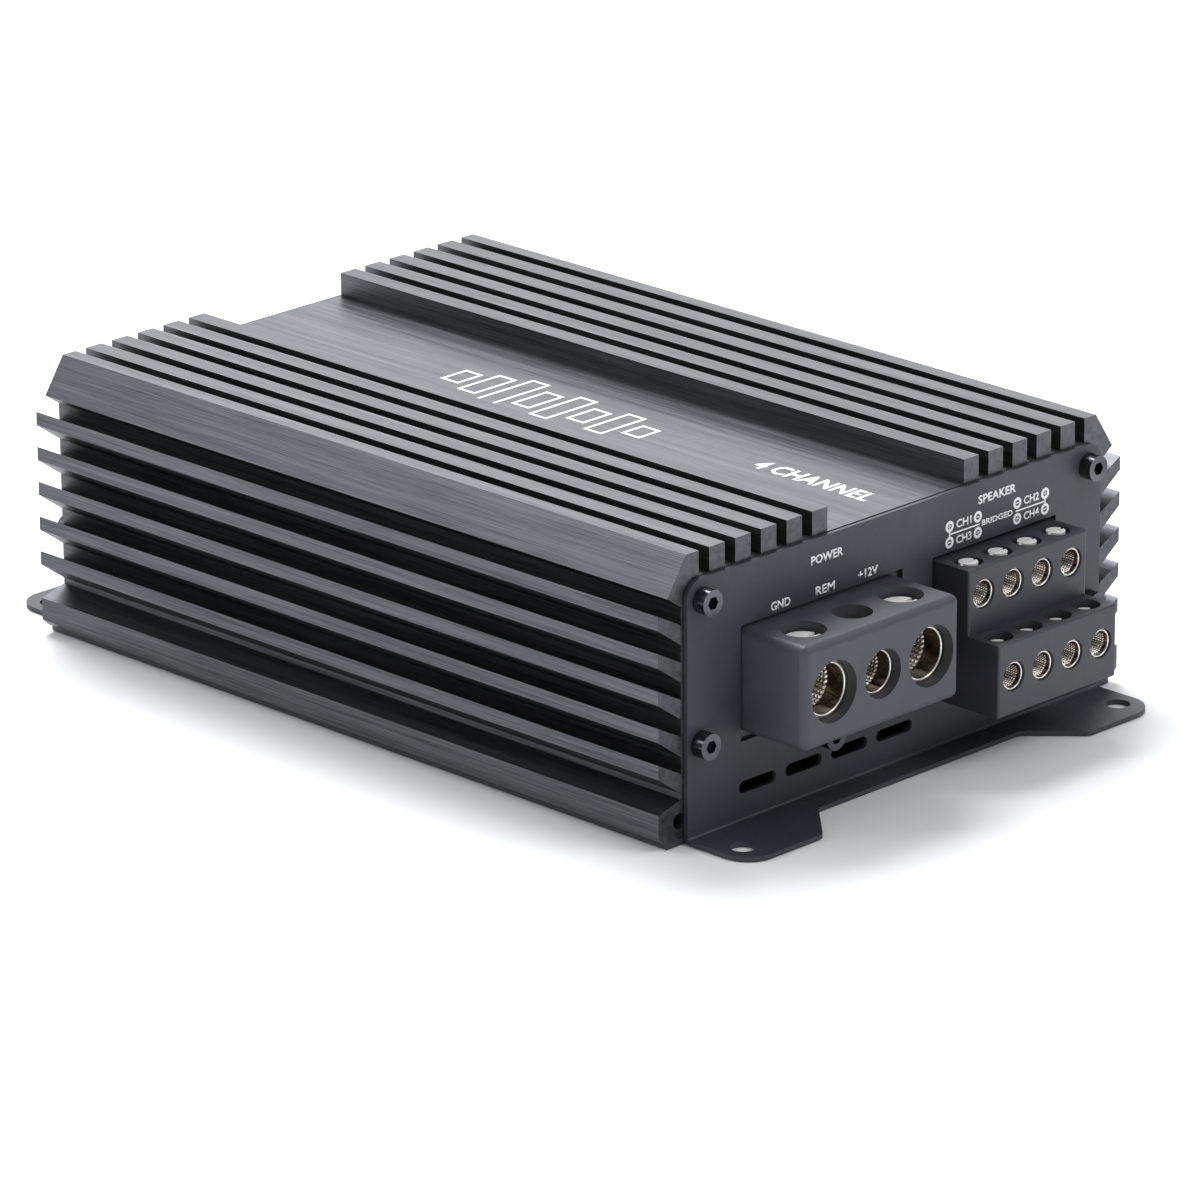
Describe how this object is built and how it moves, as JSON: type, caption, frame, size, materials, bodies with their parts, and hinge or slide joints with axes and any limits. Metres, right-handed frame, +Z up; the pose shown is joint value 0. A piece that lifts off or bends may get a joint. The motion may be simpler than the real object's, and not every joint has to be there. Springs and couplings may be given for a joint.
{
  "type": "car amplifier",
  "caption": "Finned black aluminium car amplifier with screw terminals at the front, signal sockets and level controls at the rear, and folded feet with mounting holes.",
  "frame": {"origin": "centre of the four mounting-ear holes, on the plane that the feet stand on", "axes": "+Z up, out of the finned top; -Y out of the terminal panel; +X across the case, from the power block to the speaker block"},
  "size_m": [0.1368, 0.2207, 0.0605],
  "materials": {
    "black_anodised": "black anodised extrusion with a brushed grain, satin",
    "black_powder": "matte black powder coat with white printed legends",
    "black_steel": "black oxide socket-head and countersunk screws",
    "black_housing": "moulded black terminal housing, fine matte",
    "nickel": "bright nickel plate",
    "zinc_steel": "zinc plated steel",
    "circuit_board": "green solder mask",
    "ferrite": "dark ferrite",
    "enamelled_copper": "enamelled copper wire",
    "capacitor_sleeve": "printed shrink sleeve on an aluminium can",
    "black_epoxy": "moulded black epoxy",
    "thermal_pad": "grey silicone pad",
    "black_plastic": "moulded black plastic",
    "white_insert": "white moulded insulator",
    "red_insert": "red moulded insulator",
    "gold_plate": "gold plated contact",
    "blue_lens": "tinted clear lens",
    "red_lens": "tinted clear lens"
  },
  "bodies": {
    "root": {"board_header": "black_plastic", "board_screws": "zinc_steel", "board_standoffs": "zinc_steel", "bottom_cover": "black_powder", "bottom_cover_screws": "black_steel", "clamp_bar_screws": "zinc_steel", "clamp_bars": "zinc_steel", "control_board": "circuit_board", "control_bodies": "black_plastic", "driver_chips": "black_epoxy", "front_bracket": "zinc_steel", "front_panel": "black_powder", "front_panel_screws": "black_steel", "heatsink_case": "black_anodised", "input_capacitors": "capacitor_sleeve", "input_socket_body": "black_plastic", "input_socket_contacts": "gold_plate", "input_socket_inserts_left": "white_insert", "input_socket_inserts_right": "red_insert", "input_socket_shells": "nickel", "insulating_pads": "thermal_pad", "main_board": "circuit_board", "output_choke_cores": "ferrite", "output_choke_windings": "enamelled_copper", "output_transistors": "black_epoxy", "power_barrels": "nickel", "power_block": "black_housing", "power_lamp": "blue_lens", "protect_lamp": "red_lens", "rail_capacitors": "capacitor_sleeve", "rear_panel": "black_powder", "rear_panel_screws": "black_steel", "speaker_barrels": "nickel", "speaker_block": "black_housing", "supply_transistors": "black_epoxy", "switch_bodies": "zinc_steel", "transformer_core": "ferrite", "transformer_winding": "enamelled_copper"},
    "ground_clamp_screw": {"ground_clamp_screw": "nickel"},
    "remote_clamp_screw": {"remote_clamp_screw": "nickel"},
    "battery_clamp_screw": {"battery_clamp_screw": "nickel"},
    "speaker_screw_upper_1": {"speaker_screw_upper_1": "nickel"},
    "speaker_screw_upper_2": {"speaker_screw_upper_2": "nickel"},
    "speaker_screw_upper_3": {"speaker_screw_upper_3": "nickel"},
    "speaker_screw_upper_4": {"speaker_screw_upper_4": "nickel"},
    "speaker_screw_lower_1": {"speaker_screw_lower_1": "nickel"},
    "speaker_screw_lower_2": {"speaker_screw_lower_2": "nickel"},
    "speaker_screw_lower_3": {"speaker_screw_lower_3": "nickel"},
    "speaker_screw_lower_4": {"speaker_screw_lower_4": "nickel"},
    "front_gain_knob": {"front_gain_knob": "black_plastic"},
    "rear_gain_knob": {"rear_gain_knob": "black_plastic"},
    "high_pass_knob": {"high_pass_knob": "black_plastic"},
    "low_pass_knob": {"low_pass_knob": "black_plastic"},
    "front_filter_slider": {"front_filter_slider": "black_plastic"},
    "rear_filter_slider": {"rear_filter_slider": "black_plastic"}
  },
  "joints": [
    {"name": "ground_clamp", "type": "slide", "parent": "root", "child": "ground_clamp_screw", "axis": [0, 0, -1], "range_m": [-0.0019, 0.004]},
    {"name": "remote_clamp", "type": "slide", "parent": "root", "child": "remote_clamp_screw", "axis": [0, 0, -1], "range_m": [-0.0033, 0.0026]},
    {"name": "battery_clamp", "type": "slide", "parent": "root", "child": "battery_clamp_screw", "axis": [0, 0, -1], "range_m": [-0.0019, 0.004]},
    {"name": "speaker_clamp_upper_1", "type": "slide", "parent": "root", "child": "speaker_screw_upper_1", "axis": [0, 0, -1], "range_m": [0, 0.0022]},
    {"name": "speaker_clamp_upper_2", "type": "slide", "parent": "root", "child": "speaker_screw_upper_2", "axis": [0, 0, -1], "range_m": [0, 0.0022]},
    {"name": "speaker_clamp_upper_3", "type": "slide", "parent": "root", "child": "speaker_screw_upper_3", "axis": [0, 0, -1], "range_m": [0, 0.0022]},
    {"name": "speaker_clamp_upper_4", "type": "slide", "parent": "root", "child": "speaker_screw_upper_4", "axis": [0, 0, -1], "range_m": [0, 0.0022]},
    {"name": "speaker_clamp_lower_1", "type": "slide", "parent": "root", "child": "speaker_screw_lower_1", "axis": [0, 0, -1], "range_m": [-0.0014, 0.0022]},
    {"name": "speaker_clamp_lower_2", "type": "slide", "parent": "root", "child": "speaker_screw_lower_2", "axis": [0, 0, -1], "range_m": [-0.0014, 0.0022]},
    {"name": "speaker_clamp_lower_3", "type": "slide", "parent": "root", "child": "speaker_screw_lower_3", "axis": [0, 0, -1], "range_m": [-0.0014, 0.0022]},
    {"name": "speaker_clamp_lower_4", "type": "slide", "parent": "root", "child": "speaker_screw_lower_4", "axis": [0, 0, -1], "range_m": [-0.0014, 0.0022]},
    {"name": "front_gain", "type": "hinge", "parent": "root", "child": "front_gain_knob", "pos_m": [0.002, 0.0935, 0.036], "axis": [0, 1, 0], "range_deg": [-140, 140]},
    {"name": "rear_gain", "type": "hinge", "parent": "root", "child": "rear_gain_knob", "pos_m": [0.016, 0.0935, 0.036], "axis": [0, 1, 0], "range_deg": [-140, 140]},
    {"name": "high_pass", "type": "hinge", "parent": "root", "child": "high_pass_knob", "pos_m": [0.03, 0.0935, 0.036], "axis": [0, 1, 0], "range_deg": [-140, 140]},
    {"name": "low_pass", "type": "hinge", "parent": "root", "child": "low_pass_knob", "pos_m": [0.044, 0.0935, 0.036], "axis": [0, 1, 0], "range_deg": [-140, 140]},
    {"name": "front_filter", "type": "slide", "parent": "root", "child": "front_filter_slider", "axis": [1, 0, 0], "range_m": [-0.0025, 0.0025]},
    {"name": "rear_filter", "type": "slide", "parent": "root", "child": "rear_filter_slider", "axis": [1, 0, 0], "range_m": [-0.0025, 0.0025]}
  ]
}
